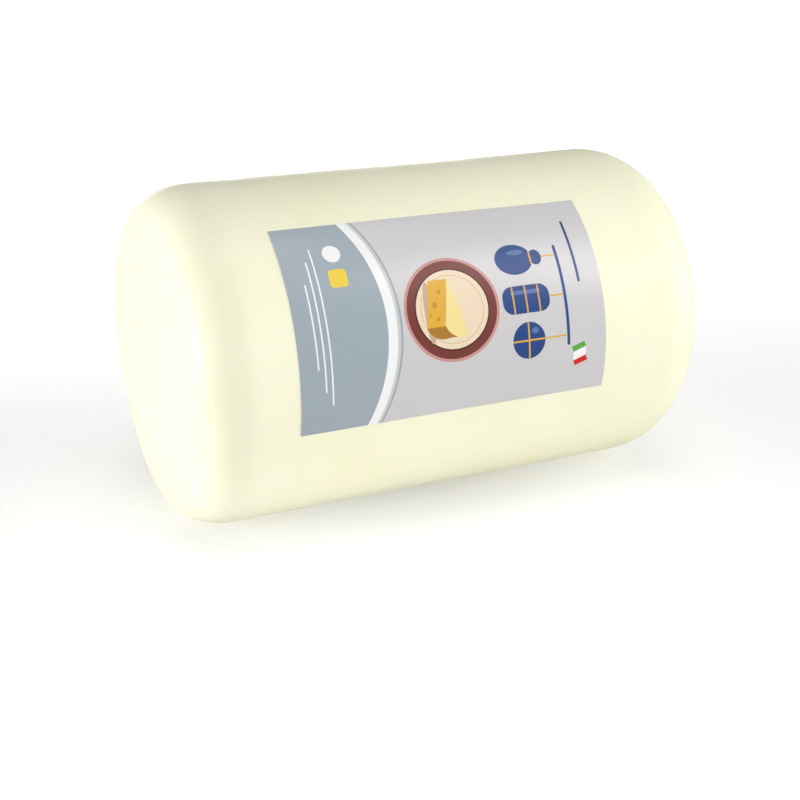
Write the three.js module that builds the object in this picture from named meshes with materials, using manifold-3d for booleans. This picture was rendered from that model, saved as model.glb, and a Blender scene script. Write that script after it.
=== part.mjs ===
// A log of stretched-curd cheese lying on its side, with a printed label wrapped round its front.
// Millimetres, +Z up. The log's axis runs along X and the label faces -Y.
// The origin is the middle of the flat strip on which the log rests.

import * as THREE from "three";
import { mergeVertices } from "three/addons/utils/BufferGeometryUtils.js";
import Module from "manifold-3d";

const { degToRad } = THREE.MathUtils;

// The log: a round bar with wide rounded edges and gently domed ends
const LOG_RADIUS = 78;
const LOG_LENGTH = 263;
const EDGE_ALONG = 24; // the rounded edge's extent along the axis
const EDGE_INWARD = 15; // the rounded edge's extent towards the axis
const DOME_SLOPE = degToRad(11.5); // the domed end's lean where it meets the rounded edge
const REST_WIDTH = 24; // flat strip that the log's own weight presses into its underside

// The label: a rectangle bent round the log, a little above the middle of its front
const LABEL_LENGTH = 150.5; // along the log
const LABEL_HEIGHT = 92.5; // round the log
const LABEL_MIDDLE = -9.5; // along the log, from its middle
const LABEL_LIFT = degToRad(21.8); // from straight to the front, upwards
const LABEL_THICKNESS = 0.3;
const LABEL_GAP = 0.3; // between the label's back and the log

// Facets
const LOG_SIDES = 80;
const DOME_STEPS = 5;
const EDGE_STEPS = 10;
const BARREL_STEPS = 4;
const LABEL_STEPS = 20;

// Height of the log's axis above the floor
const AXIS_HEIGHT = Math.sqrt(LOG_RADIUS ** 2 - (REST_WIDTH / 2) ** 2);

const wasm = await Module();
wasm.setup();

// The log's outline from the middle of one end to the middle of the other.
// Each point is (distance from the axis, place along the axis).
function logOutline() {
  const edgeTurn = Math.atan2(EDGE_ALONG, EDGE_INWARD * Math.tan(DOME_SLOPE));
  const domeRim = LOG_RADIUS - EDGE_INWARD * (1 - Math.cos(edgeTurn));
  const domeRadius = domeRim / Math.sin(DOME_SLOPE);
  const domeRise = domeRadius * (1 - Math.cos(DOME_SLOPE));
  const barrelEnd = LOG_LENGTH / 2 - domeRise - EDGE_ALONG * Math.sin(edgeTurn);

  const end = [];
  for (let i = 0; i < DOME_STEPS; i++) {
    const lean = (DOME_SLOPE * i) / DOME_STEPS;
    const along = LOG_LENGTH / 2 - domeRadius * (1 - Math.cos(lean));
    end.push(new THREE.Vector2(domeRadius * Math.sin(lean), along));
  }
  for (let i = EDGE_STEPS; i >= 0; i--) {
    const turn = (edgeTurn * i) / EDGE_STEPS;
    const out = LOG_RADIUS - EDGE_INWARD * (1 - Math.cos(turn));
    end.push(new THREE.Vector2(out, barrelEnd + EDGE_ALONG * Math.sin(turn)));
  }

  const barrel = [];
  for (let i = 1; i < BARREL_STEPS; i++) {
    const along = THREE.MathUtils.lerp(-barrelEnd, barrelEnd, i / BARREL_STEPS);
    barrel.push(new THREE.Vector2(LOG_RADIUS, along));
  }

  const nearEnd = end.map((point) => new THREE.Vector2(point.x, -point.y));
  return [...nearEnd, ...barrel, ...end.reverse()];
}

// A closed geometry as a solid that can be joined or cut.
function toSolid(geometry) {
  const bare = geometry.clone();
  bare.deleteAttribute("normal");
  bare.deleteAttribute("uv");
  const welded = mergeVertices(bare);
  const corners = welded.index.array;
  const triangles = [];
  for (let i = 0; i < corners.length; i += 3) {
    const [a, b, c] = corners.slice(i, i + 3);
    if (a !== b && b !== c && c !== a) {
      triangles.push(a, b, c);
    }
  }
  const mesh = new wasm.Mesh({
    numProp: 3,
    vertProperties: new Float32Array(welded.attributes.position.array),
    triVerts: new Uint32Array(triangles),
  });
  return new wasm.Manifold(mesh);
}

// A solid as a geometry again.
function toGeometry(solid) {
  const mesh = solid.getMesh();
  const geometry = new THREE.BufferGeometry();
  geometry.setAttribute("position", new THREE.BufferAttribute(mesh.vertProperties, 3));
  geometry.setIndex(new THREE.BufferAttribute(mesh.triVerts, 1));
  geometry.computeVertexNormals();
  return geometry;
}

// The log, turned about its axis Y, with the flat strip cut on its -Z side.
function logGeometry() {
  const whole = new THREE.LatheGeometry(logOutline(), LOG_SIDES);
  const underside = new THREE.BoxGeometry(2 * LOG_RADIUS, LOG_LENGTH, LOG_RADIUS);
  underside.translate(0, 0, -AXIS_HEIGHT - LOG_RADIUS / 2);
  return toGeometry(toSolid(whole).subtract(toSolid(underside)));
}

// The label's bent section, extruded along Z from the label's -X edge.
function labelGeometry() {
  const inner = LOG_RADIUS + LABEL_GAP;
  const outer = inner + LABEL_THICKNESS;
  const spread = LABEL_HEIGHT / LOG_RADIUS;
  const front = -Math.PI / 2;
  const first = front - LABEL_LIFT - spread / 2;
  const last = front - LABEL_LIFT + spread / 2;

  const section = new THREE.Shape();
  section.absarc(0, 0, outer, first, last, false);
  section.absarc(0, 0, inner, last, first, true);
  section.closePath();
  const options = { depth: LABEL_LENGTH, bevelEnabled: false, curveSegments: LABEL_STEPS };
  return new THREE.ExtrudeGeometry(section, options);
}

function cheeseMesh() {
  const curd = new THREE.MeshStandardMaterial({ color: 0xf7f5d9, roughness: 0.45, metalness: 0 });
  const mesh = new THREE.Mesh(logGeometry(), curd);
  mesh.name = "cheese";
  mesh.rotation.z = -Math.PI / 2;
  return mesh;
}

function labelMesh() {
  const silverPaper = new THREE.MeshStandardMaterial({ color: 0xcfcdd0, roughness: 0.35, metalness: 0.3 });
  const mesh = new THREE.Mesh(labelGeometry(), silverPaper);
  mesh.name = "label";
  mesh.rotation.y = Math.PI / 2;
  mesh.position.x = LABEL_MIDDLE - LABEL_LENGTH / 2;
  return mesh;
}

const cheeseLog = new THREE.Group();
cheeseLog.add(cheeseMesh(), labelMesh());
cheeseLog.position.z = AXIS_HEIGHT;

export default cheeseLog;
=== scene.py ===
"""The looks of a cheese log with a printed label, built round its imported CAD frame. Metres, +Z up."""
import math

import bpy
import numpy as np
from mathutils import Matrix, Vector, noise
from mathutils.geometry import delaunay_2d_cdt, interpolate_bezier


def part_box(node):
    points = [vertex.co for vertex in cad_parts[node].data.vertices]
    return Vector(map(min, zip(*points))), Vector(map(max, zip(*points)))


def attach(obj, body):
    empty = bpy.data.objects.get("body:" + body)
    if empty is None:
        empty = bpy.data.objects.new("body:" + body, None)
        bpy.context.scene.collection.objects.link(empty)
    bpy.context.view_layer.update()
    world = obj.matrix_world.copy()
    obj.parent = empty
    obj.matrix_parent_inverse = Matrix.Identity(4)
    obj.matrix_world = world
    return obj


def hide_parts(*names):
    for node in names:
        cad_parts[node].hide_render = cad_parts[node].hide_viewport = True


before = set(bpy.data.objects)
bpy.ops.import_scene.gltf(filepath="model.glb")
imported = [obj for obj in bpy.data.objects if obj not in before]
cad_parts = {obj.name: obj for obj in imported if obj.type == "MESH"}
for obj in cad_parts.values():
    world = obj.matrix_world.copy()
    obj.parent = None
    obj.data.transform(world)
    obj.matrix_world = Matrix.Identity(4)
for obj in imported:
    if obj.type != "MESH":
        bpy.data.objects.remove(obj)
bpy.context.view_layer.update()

MM = 0.001

# The log, measured on the frame: a round bar along X that rests on a flat strip
CHEESE_LOW, CHEESE_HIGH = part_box("cheese")
LENGTH = CHEESE_HIGH.x - CHEESE_LOW.x
RADIUS = (CHEESE_HIGH.y - CHEESE_LOW.y) / 2
AXIS_HEIGHT = CHEESE_HIGH.z - RADIUS
MIDDLE = Vector((0, 0, AXIS_HEIGHT))

# Its rounded edges and domed ends
EDGE_ALONG = 24 * MM
EDGE_INWARD = 15 * MM
DOME_SLOPE = math.radians(11.5)

# Broad swells and finer ripples that moulding and handling leave in the curd
SWELL_SIZE = 70 * MM
SWELL_HEIGHT = 0.35 * MM
RIPPLE_SIZE = 24 * MM
RIPPLE_HEIGHT = 0.08 * MM
CONTACT_SOFTNESS = 0.3 * MM

# The log's mesh
LOG_SIDES = 256
DOME_STEPS = 30
EDGE_STEPS = 28
BARREL_STEPS = 72

# The label, measured on the frame: a rectangle bent round the front
LABEL_LOW, LABEL_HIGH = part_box("label")
LABEL_OUTER = -LABEL_LOW.y
LABEL_TOP = math.asin((LABEL_HIGH.z - AXIS_HEIGHT) / LABEL_OUTER)
LABEL_BOTTOM = math.asin((LABEL_LOW.z - AXIS_HEIGHT) / LABEL_OUTER)
# It is read with the log stood on its -X end, so its width runs round the log and its height along it
LABEL_WIDTH = (LABEL_TOP - LABEL_BOTTOM) * RADIUS
LABEL_HEIGHT = LABEL_HIGH.x - LABEL_LOW.x
PAPER_LIFT = 0.04 * MM
PAPER_THICKNESS = 0.16 * MM
PAPER_PITCH = 2.5 * MM
MERGE_DISTANCE = 0.02 * MM

# The camera, from a fit to the photograph
CAMERA_AZIMUTH = math.radians(-25.68)
CAMERA_ELEVATION = math.radians(19.97)
CAMERA_DISTANCE = 0.671
CAMERA_LEFT = 0.0015
CAMERA_DROP = 0.0362
SENSOR = 36.0
LENS = 61.7


def direction(azimuth, elevation):
    """The unit vector from the log towards a place. Azimuth 0 is straight in front, on the -Y side."""
    flat = math.cos(elevation)
    return Vector((math.sin(azimuth) * flat, -math.cos(azimuth) * flat, math.sin(elevation)))


def new_object(name, mesh):
    piece = bpy.data.objects.new(name, mesh)
    bpy.context.scene.collection.objects.link(piece)
    return piece


# The log

def unevenness(point):
    """How far the surface stands out from the true form at a point, in metres."""
    swell = noise.noise(point / SWELL_SIZE)
    ripple = noise.noise(point / RIPPLE_SIZE)
    return SWELL_HEIGHT * swell + RIPPLE_HEIGHT * ripple


def log_profile():
    """The outline from the middle of the -X end to the middle of the +X end.
    Each row is a place along the axis, a distance from it, and the outward normal's two shares."""
    edge_turn = math.atan2(EDGE_ALONG, EDGE_INWARD * math.tan(DOME_SLOPE))
    dome_rim = RADIUS - EDGE_INWARD * (1 - math.cos(edge_turn))
    dome_radius = dome_rim / math.sin(DOME_SLOPE)
    dome_rise = dome_radius * (1 - math.cos(DOME_SLOPE))
    barrel_end = LENGTH / 2 - dome_rise - EDGE_ALONG * math.sin(edge_turn)

    rows = []
    for lean in np.linspace(0, DOME_SLOPE, DOME_STEPS, endpoint=False):
        along = LENGTH / 2 - dome_radius * (1 - math.cos(lean))
        rows.append((along, dome_radius * math.sin(lean), math.cos(lean), math.sin(lean)))
    for turn in np.linspace(edge_turn, 0, EDGE_STEPS + 1):
        along = barrel_end + EDGE_ALONG * math.sin(turn)
        out = RADIUS - EDGE_INWARD * (1 - math.cos(turn))
        normal = Vector((math.sin(turn) / EDGE_ALONG, math.cos(turn) / EDGE_INWARD)).normalized()
        rows.append((along, out, normal.x, normal.y))

    near_end = [(-along, out, -share, rest) for along, out, share, rest in rows]
    places = np.linspace(-barrel_end, barrel_end, BARREL_STEPS + 1)[1:-1]
    barrel = [(along, RADIUS, 0.0, 1.0) for along in places]
    return near_end + barrel + rows[::-1]


def on_log(along, out, normal_along, normal_out, angle, lift=0.0):
    """A point of the uneven surface. The angle is measured from straight in front, upwards."""
    forward = -math.cos(angle)
    upward = math.sin(angle)
    place = MIDDLE + Vector((along, out * forward, out * upward))
    normal = Vector((normal_along, normal_out * forward, normal_out * upward))
    return place + (unevenness(place) + lift) * normal


def settled(point):
    """The point, kept above the floor with a soft turn into the flat strip."""
    height = (point.z + math.hypot(point.z, CONTACT_SOFTNESS)) / 2
    return Vector((point.x, point.y, height))


def cheese_mesh():
    profile = log_profile()
    rings = profile[1:-1]
    angles = np.linspace(0, 2 * math.pi, LOG_SIDES, endpoint=False)
    points = [settled(on_log(*row, angle)) for row in rings for angle in angles]
    first_pole = len(points)
    last_pole = first_pole + 1
    points.append(on_log(*profile[0], 0.0))
    points.append(on_log(*profile[-1], 0.0))

    faces = []
    for side in range(LOG_SIDES):
        after = (side + 1) % LOG_SIDES
        faces.append((first_pole, side, after))
        for ring in range(len(rings) - 1):
            here = ring * LOG_SIDES
            beyond = here + LOG_SIDES
            faces.append((here + after, here + side, beyond + side, beyond + after))
        faces.append((last_pole, beyond + after, beyond + side))

    mesh = bpy.data.meshes.new("cheese_log")
    mesh.from_pydata(points, [], faces)
    mesh.shade_smooth()
    return mesh


# Outlines on the flat label: x runs along its width and y up its height, from its lower left corner

def ellipse(centre, half_width, half_height, steps=56):
    turns = np.linspace(0, 2 * math.pi, steps, endpoint=False)
    return [centre + Vector((half_width * math.cos(t), half_height * math.sin(t))) for t in turns]


def disc(centre, radius):
    return ellipse(centre, radius, radius)


def rounded_box(centre, width, height, corner, tilt=0.0, steps=6):
    """A rectangle with round corners, turned by tilt about its centre."""
    points = []
    for quarter in range(4):
        middle_turn = math.pi / 4 + quarter * math.pi / 2
        side_x = math.copysign(width / 2 - corner, math.cos(middle_turn))
        side_y = math.copysign(height / 2 - corner, math.sin(middle_turn))
        for turn in np.linspace(quarter * math.pi / 2, (quarter + 1) * math.pi / 2, steps):
            points.append(Vector((side_x + corner * math.cos(turn), side_y + corner * math.sin(turn))))
    across = Vector((math.cos(tilt), math.sin(tilt)))
    upward = Vector((-math.sin(tilt), math.cos(tilt)))
    return [centre + point.x * across + point.y * upward for point in points]


def stroke(start, end, width):
    """A straight line with round ends."""
    run = end - start
    tilt = math.atan2(run.y, run.x)
    return rounded_box((start + end) / 2, run.length + width, width, width / 2, tilt)


# The print's layout on the flat label: a panel with an arched edge, a white band and a fine line
PANEL_SIDE = 31 * MM
PANEL_CROWN = 42 * MM
PANEL_STEPS = 32
BAND_WIDTH = 4.5 * MM
LINE_GAP = 1.4 * MM
LINE_WIDTH = 1.0 * MM

# Two marks on the panel, and its rules: start and end across the label and height, in millimetres
MARK_HEIGHT = 24 * MM
MARK_SIZE = 8.2 * MM
DISC_PLACE = 15 * MM
SQUARE_PLACE = 26.5 * MM
SQUARE_CORNER = MARK_SIZE / 5
RULES = ((12, 80, 14.5), (18, 74, 11.5), (28, 64, 8.5))
RULE_WIDTH = 0.7 * MM

# A roundel of rings, widest first, each an ink and a share of the radius
ROUNDEL_CENTRE = Vector((LABEL_WIDTH / 2, 73.5 * MM))
ROUNDEL_RADIUS = 21.8 * MM
ROUNDEL_RINGS = (
    ("pink", 1.06),
    ("terracotta", 1.0),
    ("dark_terracotta", 0.83),
    ("cream", 0.8),
    ("blush", 0.7),
    ("cream", 0.68),
)

# The wedge of cheese in it and its shadow, in shares of the radius, and its holes' sizes in millimetres
WEDGE_TIP = (-0.62, -0.01)
WEDGE_RIND = ((0.32, -0.2), (0.5, -0.14), (0.62, 0.06), (0.56, 0.28))
WEDGE_RIND_POINTS = 9
WEDGE_SHADOW = (0.02, -0.5)
WEDGE_SHADOW_SIZE = (0.62, 0.12)
WEDGE_DEPTH = 9 * MM
WEDGE_LINE = 0.45 * MM
WEDGE_LINE_INSET = 0.03
WEDGE_HOLES = ((-0.38, -0.24, 1.0), (-0.12, -0.38, 1.5), (0.16, -0.34, 1.0), (0.08, -0.5, 0.7))
HOLE_FLATNESS = 0.8

# Three cheeses hung side by side from a rail
RAIL_HEIGHT = 130.5 * MM
RAIL_REACH = 22.5 * MM
RAIL_WIDTH = 1.5 * MM
HANGING_SPACING = 18.5 * MM
HANGING_HEIGHT = 110 * MM
CORD_WIDTH = 0.8 * MM

# A flag: where its stripes begin and end across it, and how far its wave shifts them along, in millimetres
FLAG_CENTRE = Vector((74.2 * MM, 136.4 * MM))
FLAG_LENGTH = 7.0 * MM
FLAG_TILT = math.radians(17)
FLAG_BOUNDS = ((-4.6, 0.35), (-1.95, 0.7), (1.95, -0.7), (4.6, -0.35))

# A plain rule in the other corner
CORNER_RULE_START = Vector((12 * MM, 139 * MM))
CORNER_RULE_END = Vector((41 * MM, 139 * MM))
CORNER_RULE_WIDTH = 1.3 * MM


def panel_edge(lift):
    """The curve across the label on which the coloured panel ends, raised by lift."""
    points = []
    for share in np.linspace(-1, 1, PANEL_STEPS + 1):
        height = PANEL_SIDE + (PANEL_CROWN - PANEL_SIDE) * (1 - share * share) + lift
        points.append(Vector((LABEL_WIDTH * (share + 1) / 2, height)))
    return points


def band(low, high):
    """The strip between two heights above the panel's edge."""
    return panel_edge(low) + panel_edge(high)[::-1]


def panel_print():
    lower_corners = [Vector((LABEL_WIDTH, 0)), Vector((0, 0))]
    line = BAND_WIDTH + LINE_GAP
    return [
        ("slate", panel_edge(0) + lower_corners),
        ("white", band(0, BAND_WIDTH)),
        ("slate", band(line, line + LINE_WIDTH)),
    ]


def marks_print():
    """Two plain marks and three fine rules on the panel."""
    square = Vector((SQUARE_PLACE, MARK_HEIGHT))
    fields = [
        ("white", disc(Vector((DISC_PLACE, MARK_HEIGHT)), MARK_SIZE / 2)),
        ("yellow", rounded_box(square, MARK_SIZE, MARK_SIZE, SQUARE_CORNER)),
    ]
    for start, end, height in RULES:
        line = stroke(Vector((start * MM, height * MM)), Vector((end * MM, height * MM)), RULE_WIDTH)
        fields.append(("white", line))
    return fields


def roundel_print():
    """A cut piece of cheese on a pale plate inside a terracotta ring."""
    def at(x, y):
        return ROUNDEL_CENTRE + Vector((x, y)) * ROUNDEL_RADIUS

    def lowered(points):
        return [point - Vector((0, WEDGE_DEPTH)) for point in points]

    fields = [(ink, disc(ROUNDEL_CENTRE, ROUNDEL_RADIUS * share)) for ink, share in ROUNDEL_RINGS]
    tip = at(*WEDGE_TIP)
    knots = [at(*place) for place in WEDGE_RIND]
    rind = [point.to_2d() for point in interpolate_bezier(*knots, WEDGE_RIND_POINTS)]
    near = rind[0]
    ridge = [tip.lerp(near, WEDGE_LINE_INSET), near.lerp(tip, WEDGE_LINE_INSET)]
    shadow_width, shadow_height = WEDGE_SHADOW_SIZE
    fields += [
        ("tan", ellipse(at(*WEDGE_SHADOW), ROUNDEL_RADIUS * shadow_width, ROUNDEL_RADIUS * shadow_height)),
        ("golden", [tip, near] + lowered([near, tip])),
        ("ochre", rind + lowered(rind)[::-1]),
        ("butter", [tip] + rind),
        ("cream", stroke(*ridge, WEDGE_LINE)),
    ]
    for x, y, size in WEDGE_HOLES:
        hole = ellipse(at(x, y), size * MM, size * HOLE_FLATNESS * MM, steps=24)
        fields.append(("amber", hole))
    return fields


# Each hung cheese is drawn about a spot of its own, in millimetres, with the cords that bind it

def cord(start, end):
    return ("golden", stroke(start, end, CORD_WIDTH))


def pear_print(spot):
    """A pear tied round its neck."""
    neck = 6.9
    reach = 2.9
    return [
        ("navy", ellipse(spot(0, -1.5), 7.2 * MM, 9.5 * MM)),
        ("navy", ellipse(spot(0, 9.5), 3.6 * MM, 3.2 * MM)),
        ("sky", ellipse(spot(-3.2, 0), 1.2 * MM, 4.2 * MM)),
        cord(spot(-reach, neck), spot(reach, neck)),
    ]


def log_print(spot):
    """A stout log tied round three times."""
    reach = 5.9
    fields = [
        ("navy", rounded_box(spot(0, 0.5), 12.5 * MM, 24 * MM, 5 * MM)),
        ("sky", rounded_box(spot(-3.2, 0.5), 1.8 * MM, 15 * MM, 0.9 * MM)),
    ]
    for height in (-6, 0.5, 7):
        fields.append(cord(spot(-reach, height), spot(reach, height)))
    return fields


def ball_print(spot):
    """A ball tied crosswise."""
    reach = 7.8
    return [
        ("navy", disc(spot(0, 0), 8.3 * MM)),
        ("sky", ellipse(spot(-4.2, 3.4), 1.5 * MM, 1.9 * MM)),
        cord(spot(0, -reach), spot(0, reach)),
        cord(spot(-reach, 0), spot(reach, 0)),
    ]


def hung(shape_print, column, top):
    """One cheese under the rail and the cord that holds it, which starts at its top."""
    across = LABEL_WIDTH / 2 + column * HANGING_SPACING

    def spot(x, y):
        return Vector((across + x * MM, HANGING_HEIGHT + y * MM))

    holder = cord(spot(0, top), Vector((across, RAIL_HEIGHT - RAIL_WIDTH)))
    return [holder] + shape_print(spot)


def hanging_print():
    """Three cheeses of the usual shapes hung from a rail."""
    rail_ends = [Vector((LABEL_WIDTH / 2 + side * RAIL_REACH, RAIL_HEIGHT)) for side in (-1, 1)]
    rail = ("navy", stroke(*rail_ends, RAIL_WIDTH))
    return [rail] + hung(pear_print, -1, 12) + hung(log_print, 0, 12.5) + hung(ball_print, 1, 8.5)


def flag_print():
    """A small waving flag of three stripes, and a plain rule across the other corner."""
    across = Vector((math.cos(FLAG_TILT), math.sin(FLAG_TILT)))
    along = across.orthogonal()

    def corner(bound, end):
        place, shift = bound
        return FLAG_CENTRE + across * place * MM + along * (shift * MM + end * FLAG_LENGTH / 2)

    fields = []
    for ink, first, last in zip(("green", "white", "red"), FLAG_BOUNDS, FLAG_BOUNDS[1:]):
        corners = [corner(first, -1), corner(last, -1), corner(last, 1), corner(first, 1)]
        fields.append((ink, corners))
    fields.append(("navy", stroke(CORNER_RULE_START, CORNER_RULE_END, CORNER_RULE_WIDTH)))
    return fields


def print_fields():
    """Every printed field, lowest first, as an ink's name and an outline."""
    return panel_print() + marks_print() + roundel_print() + hanging_print() + flag_print()


# The label

def prepared(outline):
    """The outline run anticlockwise, with its long sides split so that they can bend with the paper."""
    sides = list(zip(outline, outline[1:] + outline[:1]))
    points = []
    for here, after in sides:
        steps = math.ceil((after - here).length / PAPER_PITCH)
        points.extend(here.lerp(after, step / steps) for step in range(steps))
    area = sum(here.cross(after) for here, after in sides)
    return points if area > 0 else points[::-1]


def split_sheet(fields):
    """The flat label cut into triangles along every outline: its points, triangles and inks."""
    points = [
        Vector((0, 0)),
        Vector((LABEL_WIDTH, 0)),
        Vector((LABEL_WIDTH, LABEL_HEIGHT)),
        Vector((0, LABEL_HEIGHT)),
    ]
    outlines = [[0, 1, 2, 3]]
    for _, outline in fields:
        first = len(points)
        points.extend(prepared(outline))
        outlines.append(list(range(first, len(points))))
    columns = round(LABEL_WIDTH / PAPER_PITCH)
    rows = round(LABEL_HEIGHT / PAPER_PITCH)
    for row in range(rows + 1):
        for column in range(columns + 1):
            points.append(Vector((LABEL_WIDTH * column / columns, LABEL_HEIGHT * row / rows)))

    whole = 0
    cut_points, _, triangles, _, _, within = delaunay_2d_cdt(points, [], outlines, whole, MERGE_DISTANCE)
    inks = ["silver"] + [ink for ink, _ in fields]
    return cut_points, triangles, [inks[max(outline)] for outline in within]


def on_label(point, lift):
    """A point of the flat label, bent onto the log."""
    angle = LABEL_TOP - point.x / RADIUS
    return on_log(LABEL_LOW.x + point.y, RADIUS, 0.0, 1.0, angle, lift)


def rim_edges(triangles):
    """The edges that only one triangle has, each running as that triangle does."""
    edges = {(a, b) for t in triangles for a, b in zip(t, (*t[1:], t[0]))}
    return [(a, b) for a, b in edges if (b, a) not in edges]


def label_normals(mesh, front_count, back_count):
    """Normals for every face corner: out from the axis in front, inwards behind, square at the rim."""
    normals = []
    for face in mesh.polygons:
        for corner in face.vertices:
            place = mesh.vertices[corner].co - MIDDLE
            outward = Vector((0, place.y, place.z)).normalized()
            if face.index < front_count:
                normals.append(outward)
            elif face.index < front_count + back_count:
                normals.append(-outward)
            else:
                normals.append(face.normal.copy())
    return normals


def label_mesh(inks):
    """A thin closed sheet whose front faces carry the inks."""
    points, triangles, printed = split_sheet(print_fields())
    count = len(points)
    front = [on_label(p, PAPER_LIFT + PAPER_THICKNESS) for p in points]
    back = [on_label(p, PAPER_LIFT) for p in points]
    outward = [tuple(t) for t in triangles]
    inward = [tuple(corner + count for corner in reversed(t)) for t in triangles]
    rim = [(b, a, a + count, b + count) for a, b in sorted(rim_edges(outward))]

    mesh = bpy.data.meshes.new("printed_label")
    mesh.from_pydata(front + back, [], outward + inward + rim)
    names = list(inks)
    for ink in names:
        mesh.materials.append(inks[ink])
    slots = [names.index(ink) for ink in printed]
    slots += [names.index("paper")] * (len(inward) + len(rim))
    mesh.polygons.foreach_set("material_index", slots)
    mesh.shade_smooth()
    mesh.normals_split_custom_set(label_normals(mesh, len(outward), len(inward)))
    return mesh


# Materials

# The curd: two tints in soft clouds under a waxy skin, with a fine grain and shallow dimples
CURD_PALE = (0.960, 0.947, 0.735, 1)
CURD_RICH = (0.940, 0.918, 0.665, 1)
CLOUD_SIZE = 38 * MM
WAX_SIZE = 16 * MM
WAX_ROUGHNESS = (0.40, 0.52)
GRAIN_SIZE = 1.6 * MM
GRAIN_HEIGHT = 0.02 * MM
DIMPLE_SIZE = 7 * MM
DIMPLE_HEIGHT = 0.06 * MM

# The inks: satin, with a gloss that changes in patches, a fine tooth and a faint wave
INK_ROUGHNESS = 0.32
SILVER_ROUGHNESS = 0.30
SILVER_METALLIC = 0.05
GLOSS_SPREAD = 0.02
PATCH_SIZE = 9 * MM
TOOTH_SIZE = 0.7 * MM
TOOTH_HEIGHT = 0.003 * MM
WAVE_SIZE = 11 * MM
WAVE_HEIGHT = 0.03 * MM

SILVER = (0.645, 0.63, 0.635)
INK_COLOURS = {
    "slate": (0.35, 0.412, 0.458),
    "white": (0.90, 0.90, 0.90),
    "paper": (0.85, 0.84, 0.82),
    "navy": (0.022, 0.066, 0.238),
    "sky": (0.10, 0.18, 0.42),
    "terracotta": (0.195, 0.045, 0.036),
    "dark_terracotta": (0.075, 0.018, 0.015),
    "pink": (0.60, 0.30, 0.27),
    "cream": (0.85, 0.70, 0.51),
    "blush": (0.72, 0.52, 0.36),
    "tan": (0.60, 0.42, 0.26),
    "butter": (0.90, 0.74, 0.30),
    "golden": (0.76, 0.43, 0.045),
    "amber": (0.58, 0.29, 0.03),
    "ochre": (0.42, 0.20, 0.03),
    "yellow": (0.86, 0.63, 0.05),
    "green": (0.11, 0.43, 0.053),
    "red": (0.68, 0.012, 0.012),
}


def new_material(name):
    material = bpy.data.materials.new(name)
    material.use_nodes = True
    return material, material.node_tree, material.node_tree.nodes["Principled BSDF"]


def add_noise(tree, size, detail=2.0):
    """A noise whose features measure about size, laid through space."""
    place = tree.nodes.new("ShaderNodeTexCoord")
    pattern = tree.nodes.new("ShaderNodeTexNoise")
    pattern.inputs["Scale"].default_value = 1 / size
    pattern.inputs["Detail"].default_value = detail
    tree.links.new(place.outputs["Object"], pattern.inputs["Vector"])
    return pattern.outputs["Fac"]


def add_range(tree, value, low, high):
    """The middle half of a noise's values, spread from low to high."""
    spread = tree.nodes.new("ShaderNodeMapRange")
    spread.inputs["From Min"].default_value = 0.25
    spread.inputs["From Max"].default_value = 0.75
    spread.inputs["To Min"].default_value = low
    spread.inputs["To Max"].default_value = high
    tree.links.new(value, spread.inputs["Value"])
    return spread.outputs["Result"]


def add_bump(tree, height, depth, before=None):
    bump = tree.nodes.new("ShaderNodeBump")
    bump.inputs["Strength"].default_value = 1.0
    bump.inputs["Distance"].default_value = depth
    tree.links.new(height, bump.inputs["Height"])
    if before is not None:
        tree.links.new(before, bump.inputs["Normal"])
    return bump.outputs["Normal"]


def cheese_material():
    """Ivory-yellow curd: faintly clouded, finely grained and slightly see-through."""
    material, tree, curd = new_material("cheese_curd")
    cloud = add_range(tree, add_noise(tree, CLOUD_SIZE, detail=4.0), 0.0, 1.0)
    tint = tree.nodes.new("ShaderNodeMix")
    tint.data_type = "RGBA"
    tint.inputs["A"].default_value = CURD_PALE
    tint.inputs["B"].default_value = CURD_RICH
    tree.links.new(cloud, tint.inputs["Factor"])
    tree.links.new(tint.outputs["Result"], curd.inputs["Base Color"])

    waxy = add_range(tree, add_noise(tree, WAX_SIZE, detail=3.0), *WAX_ROUGHNESS)
    tree.links.new(waxy, curd.inputs["Roughness"])
    grain = add_bump(tree, add_noise(tree, GRAIN_SIZE, detail=3.0), GRAIN_HEIGHT)
    dimples = add_bump(tree, add_noise(tree, DIMPLE_SIZE), DIMPLE_HEIGHT, before=grain)
    tree.links.new(dimples, curd.inputs["Normal"])

    curd.inputs["Subsurface Weight"].default_value = 0.35
    curd.inputs["Subsurface Radius"].default_value = (1.0, 0.9, 0.5)
    curd.inputs["Subsurface Scale"].default_value = 3 * MM
    curd.inputs["IOR"].default_value = 1.45
    curd.inputs["Specular IOR Level"].default_value = 0.3
    return material


def ink_material(name, colour, roughness=INK_ROUGHNESS, metallic=0.0):
    """Ink on satin paper: even in colour, with a faint wave and tooth that break up its gloss."""
    material, tree, ink = new_material(name)
    ink.inputs["Base Color"].default_value = (*colour, 1)
    ink.inputs["Metallic"].default_value = metallic
    patches = add_noise(tree, PATCH_SIZE, detail=3.0)
    gloss = add_range(tree, patches, roughness - GLOSS_SPREAD, roughness + GLOSS_SPREAD)
    tree.links.new(gloss, ink.inputs["Roughness"])
    tooth = add_bump(tree, add_noise(tree, TOOTH_SIZE), TOOTH_HEIGHT)
    wave = add_bump(tree, add_noise(tree, WAVE_SIZE), WAVE_HEIGHT, before=tooth)
    tree.links.new(wave, ink.inputs["Normal"])
    return material


def label_inks():
    inks = {"silver": ink_material("silver_paper", SILVER, SILVER_ROUGHNESS, SILVER_METALLIC)}
    for name, colour in INK_COLOURS.items():
        inks[name] = ink_material(name + "_ink", colour)
    return inks


# The stage

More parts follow.
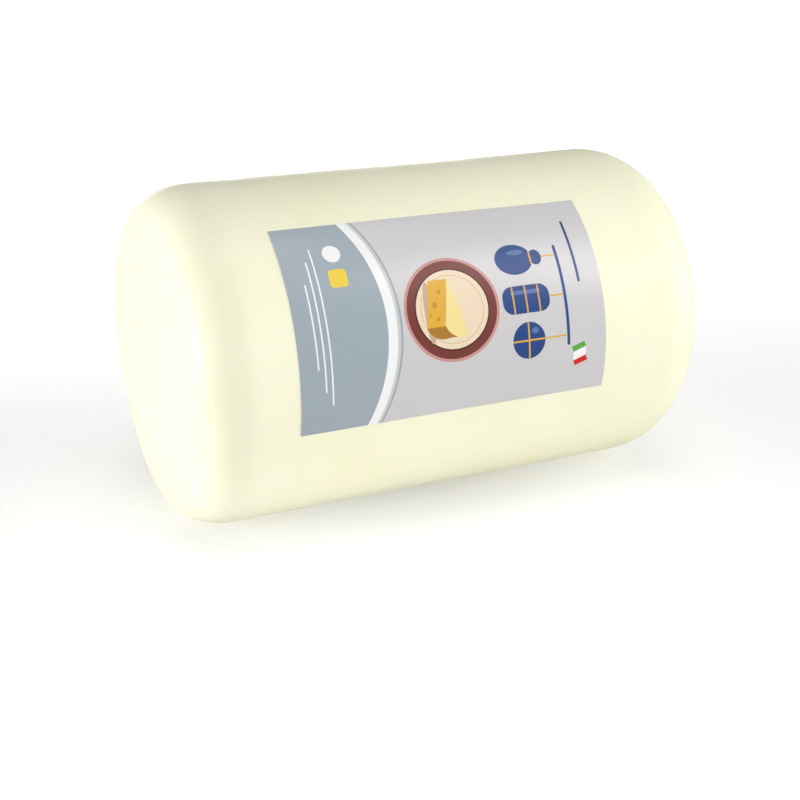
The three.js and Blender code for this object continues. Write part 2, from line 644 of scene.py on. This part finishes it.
FLOOR_REACH = 8.0
FLOOR_DROP = 0.1 * MM
FLOOR_COLOUR = (0.5, 0.5, 0.5, 1)
FLOOR_ROUGHNESS = 0.6
BACKDROP_RADIUS = 7.0
BACKDROP_HEIGHT = 6.0
BACKDROP_SIDES = 96
WHITE = (1, 1, 1, 1)
BLACK = (0, 0, 0, 1)
WORLD_STRENGTH = 0.1

# The floor's painted glow, dimmed near the log into a painted contact shadow: distance from a point under
# the log, in the log's half sizes, and strength there
GLOW_STOPS = ((0.45, 0.45), (1.25, 0.69), (3.0, 0.7), (12.0, 0.98))
GLOW_REACH = GLOW_STOPS[-1][0]
GLOW_MIDDLE = (2 * MM, 12 * MM, 0)

# A faint band of painted shade that crosses the floor under the log and runs on past both of its ends
SHADE_BAND_MIDDLE = (0, 65 * MM, 0)
SHADE_BAND_TURN = math.radians(-19)
SHADE_BAND_HALF_LENGTH = 1.2
SHADE_BAND_HALF_WIDTH = 0.29
SHADE_BAND_GLOW = 0.735

# Soft boxes: azimuth and elevation in degrees, distance, width and height in metres, power in watts
SOFT_BOXES = {
    "left_box": (-100, 1, 1.0, 0.3, 0.18, 5.8),
    "right_box": (70, 4, 2.2, 0.9, 0.7, 17.0),
    "high_right_box": (50, 28, 1.8, 0.6, 0.45, 5.6),
    "front_box": (-15, 9, 1.6, 0.8, 0.4, 2.9),
    "top_box": (-10, 76, 1.2, 0.7, 0.7, 6.7),
    "sheen_box": (40, 45, 1.0, 0.3, 0.26, 0.8),
    "back_box": (166, 2, 1.4, 0.9, 0.22, 6.5),
}


def add_distance(tree, middle, half_length, half_width, turn=0.0):
    """How far a place on the floor is from a point, counted in half sizes."""
    place = tree.nodes.new("ShaderNodeTexCoord")
    mapping = tree.nodes.new("ShaderNodeMapping")
    mapping.vector_type = "TEXTURE"
    mapping.inputs["Location"].default_value = middle
    mapping.inputs["Rotation"].default_value = (0, 0, turn)
    mapping.inputs["Scale"].default_value = (half_length, half_width, 1)
    away = tree.nodes.new("ShaderNodeVectorMath")
    away.operation = "LENGTH"
    tree.links.new(place.outputs["Object"], mapping.inputs["Vector"])
    tree.links.new(mapping.outputs["Vector"], away.inputs[0])
    return away.outputs["Value"]


def add_glow_with_painted_shadow(tree):
    """The floor's painted glow, which fades towards the log as a painted contact shadow."""
    ramp = tree.nodes.new("ShaderNodeValToRGB")
    stops = ramp.color_ramp.elements
    while len(stops) < len(GLOW_STOPS):
        stops.new(0.5)
    for stop, (distance, glow) in zip(stops, GLOW_STOPS):
        stop.position = distance / GLOW_REACH
        stop.color = (glow, glow, glow, 1)
    away = add_distance(tree, GLOW_MIDDLE, GLOW_REACH * LENGTH / 2, GLOW_REACH * RADIUS)
    tree.links.new(away, ramp.inputs["Fac"])
    return ramp.outputs["Color"]


def add_painted_shade_band(tree):
    """The share of the glow that the band of painted shade leaves."""
    share = tree.nodes.new("ShaderNodeMapRange")
    share.interpolation_type = "SMOOTHSTEP"
    share.inputs["To Min"].default_value = SHADE_BAND_GLOW
    share.inputs["To Max"].default_value = 1.0
    away = add_distance(tree, SHADE_BAND_MIDDLE, SHADE_BAND_HALF_LENGTH, SHADE_BAND_HALF_WIDTH, SHADE_BAND_TURN)
    tree.links.new(away, share.inputs["Value"])
    return share.outputs["Result"]


# The floor's painted glow times its band of painted shade
def add_glow(tree):
    glow = tree.nodes.new("ShaderNodeMath")
    glow.operation = "MULTIPLY"
    tree.links.new(add_glow_with_painted_shadow(tree), glow.inputs[0])
    tree.links.new(add_painted_shade_band(tree), glow.inputs[1])
    return glow.outputs["Value"]


def build_floor():
    mesh = bpy.data.meshes.new("floor")
    corners = [(-1, -1), (1, -1), (1, 1), (-1, 1)]
    points = [(FLOOR_REACH * x, FLOOR_REACH * y, -FLOOR_DROP) for x, y in corners]
    mesh.from_pydata(points, [], [(0, 1, 2, 3)])
    floor = new_object("floor", mesh)
    material, tree, sweep = new_material("studio_floor")
    sweep.inputs["Base Color"].default_value = FLOOR_COLOUR
    sweep.inputs["Roughness"].default_value = FLOOR_ROUGHNESS
    sweep.inputs["Emission Color"].default_value = WHITE
    # The floor glows though it is no lamp: painted light, dimmed into a painted contact shadow near the
    # log and a painted band of shade
    tree.links.new(add_glow(tree), sweep.inputs["Emission Strength"])
    mesh.materials.append(material)
    floor.visible_glossy = False


def build_lights():
    for name, (azimuth, elevation, distance, width, height, power) in SOFT_BOXES.items():
        data = bpy.data.lights.new(name, "AREA")
        data.shape = "RECTANGLE"
        data.size = width
        data.size_y = height
        data.energy = power
        towards = direction(math.radians(azimuth), math.radians(elevation))
        lamp = new_object(name, data)
        lamp.location = MIDDLE + distance * towards
        lamp.rotation_euler = towards.to_track_quat("Z", "Y").to_euler()
        lamp.visible_camera = False


def build_world():
    world = bpy.data.worlds.new("studio")
    world.use_nodes = True
    sky = world.node_tree.nodes["Background"]
    sky.inputs["Color"].default_value = WHITE
    sky.inputs["Strength"].default_value = WORLD_STRENGTH
    bpy.context.scene.world = world


def build_backdrop():
    """A pale wall far round the log, which the lights and the log don't notice."""
    turns = np.linspace(0, 2 * math.pi, BACKDROP_SIDES, endpoint=False)
    foot = [(BACKDROP_RADIUS * math.cos(t), BACKDROP_RADIUS * math.sin(t), -FLOOR_DROP) for t in turns]
    top = [(x, y, BACKDROP_HEIGHT) for x, y, _ in foot]
    faces = []
    for side in range(BACKDROP_SIDES):
        after = (side + 1) % BACKDROP_SIDES
        faces.append((after, side, side + BACKDROP_SIDES, after + BACKDROP_SIDES))
    mesh = bpy.data.meshes.new("backdrop")
    mesh.from_pydata(foot + top, [], faces)
    backdrop = new_object("backdrop", mesh)
    backdrop.visible_diffuse = False
    backdrop.visible_glossy = False
    backdrop.visible_transmission = False
    backdrop.visible_shadow = False
    material, _, wall = new_material("studio_wall")
    wall.inputs["Base Color"].default_value = BLACK
    wall.inputs["Specular IOR Level"].default_value = 0.0
    wall.inputs["Emission Color"].default_value = WHITE
    wall.inputs["Emission Strength"].default_value = 1.0
    mesh.materials.append(material)


def build_camera():
    back = direction(CAMERA_AZIMUTH, CAMERA_ELEVATION)
    look = back.to_track_quat("Z", "Y")
    data = bpy.data.cameras.new("camera")
    data.sensor_width = SENSOR
    data.lens = LENS
    camera = new_object("camera", data)
    camera.location = MIDDLE + look @ Vector((-CAMERA_LEFT, -CAMERA_DROP, CAMERA_DISTANCE))
    camera.rotation_euler = look.to_euler()
    bpy.context.scene.camera = camera


def build_cheese():
    cheese = new_object("cheese_log", cheese_mesh())
    cheese.data.materials.append(cheese_material())
    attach(cheese, "root")
    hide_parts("cheese")


def build_label():
    label = new_object("printed_label", label_mesh(label_inks()))
    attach(label, "root")
    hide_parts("label")


bpy.context.scene.view_settings.view_transform = "Standard"
build_camera()
build_cheese()
build_label()
build_floor()
build_backdrop()
build_lights()
build_world()
